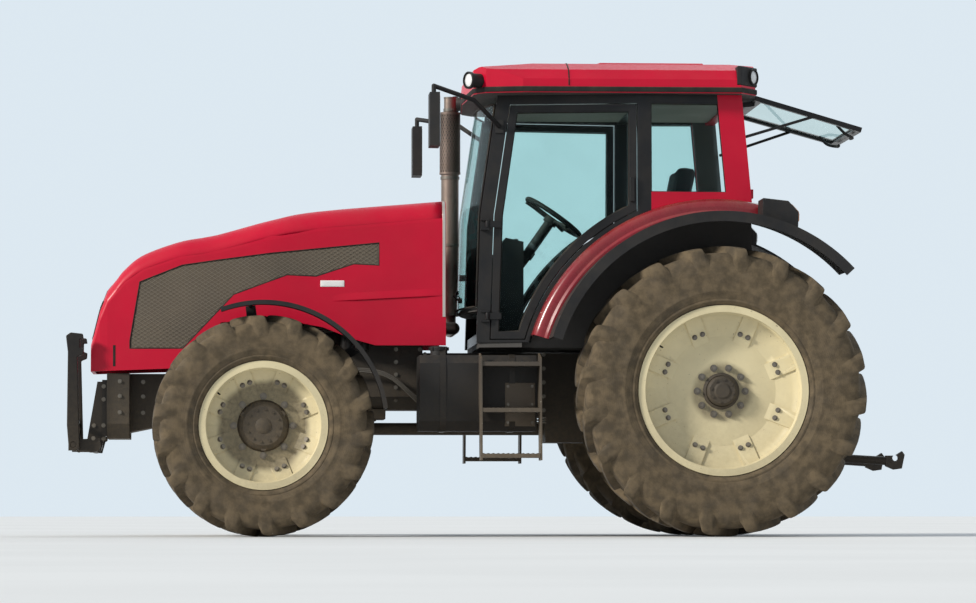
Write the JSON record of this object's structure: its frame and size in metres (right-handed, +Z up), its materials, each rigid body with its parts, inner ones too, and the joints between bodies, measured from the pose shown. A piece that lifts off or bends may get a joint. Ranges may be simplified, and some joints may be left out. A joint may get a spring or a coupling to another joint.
{
  "type": "farm tractor",
  "caption": "Four-wheel-drive farm tractor with a glazed cab, hinged hood and doors, steered front wheels, rear lift linkage and folding front linkage.",
  "frame": {"origin": "centre of the plan box at ground level, under the tractor", "axes": "+X forwards, +Y to the driver's left, +Z up"},
  "size_m": [5.156, 2.52, 2.9038],
  "materials": {
    "tyre": "dusty",
    "cream_paint": "satin, dusty",
    "cast_dark": "painted, dusty",
    "bare_steel": "ground",
    "red_paint": "gloss",
    "grille_mesh": "perforated",
    "lamp_clear": "clear",
    "lamp_red": "gloss",
    "black_paint": "satin",
    "black_plastic": "matt",
    "glass": "tinted",
    "exhaust_metal": "heat stained",
    "seat_fabric": "woven"
  },
  "bodies": {
    "chassis": {"transmission": "cast_dark", "rear_axle_housing": "cast_dark", "engine_block": "cast_dark", "front_frame": "cast_dark", "front_axle": "cast_dark", "drive_shaft": "bare_steel", "hood_stand": "black_paint", "cab_floor": "black_paint", "cab_frame": "black_paint", "cab_rear_frame": "red_paint", "roof": "red_paint", "rear_lamp_housings": "black_plastic", "work_lamps": "lamp_clear", "windscreen": "glass", "side_windows": "glass", "rear_window_frame": "black_paint", "rear_window_glass": "glass", "rear_fenders": "red_paint", "fender_flares": "black_plastic", "tail_lamps": "lamp_red", "fuel_tank": "black_plastic", "toolbox": "black_plastic", "cab_steps": "black_paint", "exhaust": "exhaust_metal", "mirrors": "black_plastic", "seat_base": "black_plastic", "seat_cushion": "seat_fabric", "seat_backrest": "seat_fabric", "steering_column": "black_plastic", "tow_hitch": "black_paint", "lift_housing": "cast_dark", "front_linkage_frame": "black_paint"},
    "wheel_rear_left": {"tyre_rear_left": "tyre", "rim_rear_left": "cream_paint", "hub_rear_left": "cast_dark"},
    "wheel_rear_right": {"tyre_rear_right": "tyre", "rim_rear_right": "cream_paint", "hub_rear_right": "cast_dark"},
    "wheel_front_left": {"tyre_front_left": "tyre", "rim_front_left": "cream_paint", "hub_front_left": "cast_dark"},
    "wheel_front_right": {"tyre_front_right": "tyre", "rim_front_right": "cream_paint", "hub_front_right": "cast_dark"},
    "steered_left": {"knuckle_left": "cast_dark", "front_fender_left": "black_plastic"},
    "steered_right": {"knuckle_right": "cast_dark", "front_fender_right": "black_plastic"},
    "steering_bar": {"steering_rod": "bare_steel"},
    "hood_assembly": {"hood": "red_paint", "hood_grilles": "grille_mesh", "headlamps": "lamp_clear"},
    "door_left_leaf": {"door_left": "black_paint", "door_glass_left": "glass"},
    "door_right_leaf": {"door_right": "black_paint", "door_glass_right": "glass"},
    "rear_links": {"lower_links": "black_paint"},
    "rear_lift_arms": {"lift_arms": "black_paint"},
    "rear_lift_rods": {"lift_rods": "black_paint"},
    "front_fold": {"front_links": "black_paint"}
  },
  "joints": [
    {"name": "wheel_rear_left_spin", "type": "hinge", "parent": "chassis", "child": "wheel_rear_left", "pos_m": [-1.37, 0.95, 0.87377], "axis": [0, 1, 0], "continuous": true},
    {"name": "wheel_rear_right_spin", "type": "hinge", "parent": "chassis", "child": "wheel_rear_right", "pos_m": [-1.37, -0.95, 0.87377], "axis": [0, 1, 0], "continuous": true},
    {"name": "steer_left", "type": "hinge", "parent": "chassis", "child": "steered_left", "pos_m": [1.378, 0.72, 0.66377], "axis": [0, 0, 1], "range_deg": [-35, 35]},
    {"name": "steer_right", "type": "hinge", "parent": "chassis", "child": "steered_right", "pos_m": [1.378, -0.72, 0.66377], "axis": [0, 0, 1], "range_deg": [-35, 35]},
    {"name": "steering_bar_slide", "type": "slide", "parent": "chassis", "child": "steering_bar", "axis": [0, 1, 0], "range_m": [-0.112, 0.112]},
    {"name": "wheel_front_left_spin", "type": "hinge", "parent": "steered_left", "child": "wheel_front_left", "pos_m": [1.378, 0.94, 0.66377], "axis": [0, 1, 0], "continuous": true},
    {"name": "wheel_front_right_spin", "type": "hinge", "parent": "steered_right", "child": "wheel_front_right", "pos_m": [1.378, -0.94, 0.66377], "axis": [0, 1, 0], "continuous": true},
    {"name": "hood_lift", "type": "hinge", "parent": "chassis", "child": "hood_assembly", "pos_m": [0.29, 0, 1.99877], "axis": [0, -1, 0], "range_deg": [0, 50]},
    {"name": "door_left_swing", "type": "hinge", "parent": "chassis", "child": "door_left_leaf", "pos_m": [0.015, 0.67676, 1.59877], "axis": [0, 0, -1], "range_deg": [0, 70]},
    {"name": "door_right_swing", "type": "hinge", "parent": "chassis", "child": "door_right_leaf", "pos_m": [0.015, -0.67676, 1.59877], "axis": [0, 0, 1], "range_deg": [0, 70]},
    {"name": "rear_links_lift", "type": "hinge", "parent": "chassis", "child": "rear_links", "pos_m": [-1.57, 0, 0.51877], "axis": [0, 1, 0], "range_deg": [-12, 32]},
    {"name": "lift_arms_turn", "type": "hinge", "parent": "chassis", "child": "rear_lift_arms", "pos_m": [-1.7, 0, 1.07877], "axis": [0, 1, 0], "range_deg": [-12, 32]},
    {"name": "lift_rods_turn", "type": "hinge", "parent": "rear_lift_arms", "child": "rear_lift_rods", "pos_m": [-2.072, 0, 1.05557], "axis": [0, 1, 0], "range_deg": [-32, 12]},
    {"name": "front_links_fold", "type": "hinge", "parent": "chassis", "child": "front_fold", "pos_m": [2.53, 0, 0.55877], "axis": [0, 1, 0], "range_deg": [0, 80]}
  ],
  "couplings": [
    {"joint": "steer_right", "follows": "steer_left", "ratio": 1},
    {"joint": "steering_bar_slide", "follows": "steer_left", "m_per_rad": 0.178},
    {"joint": "lift_arms_turn", "follows": "rear_links_lift", "ratio": 1},
    {"joint": "lift_rods_turn", "follows": "rear_links_lift", "ratio": -1}
  ]
}
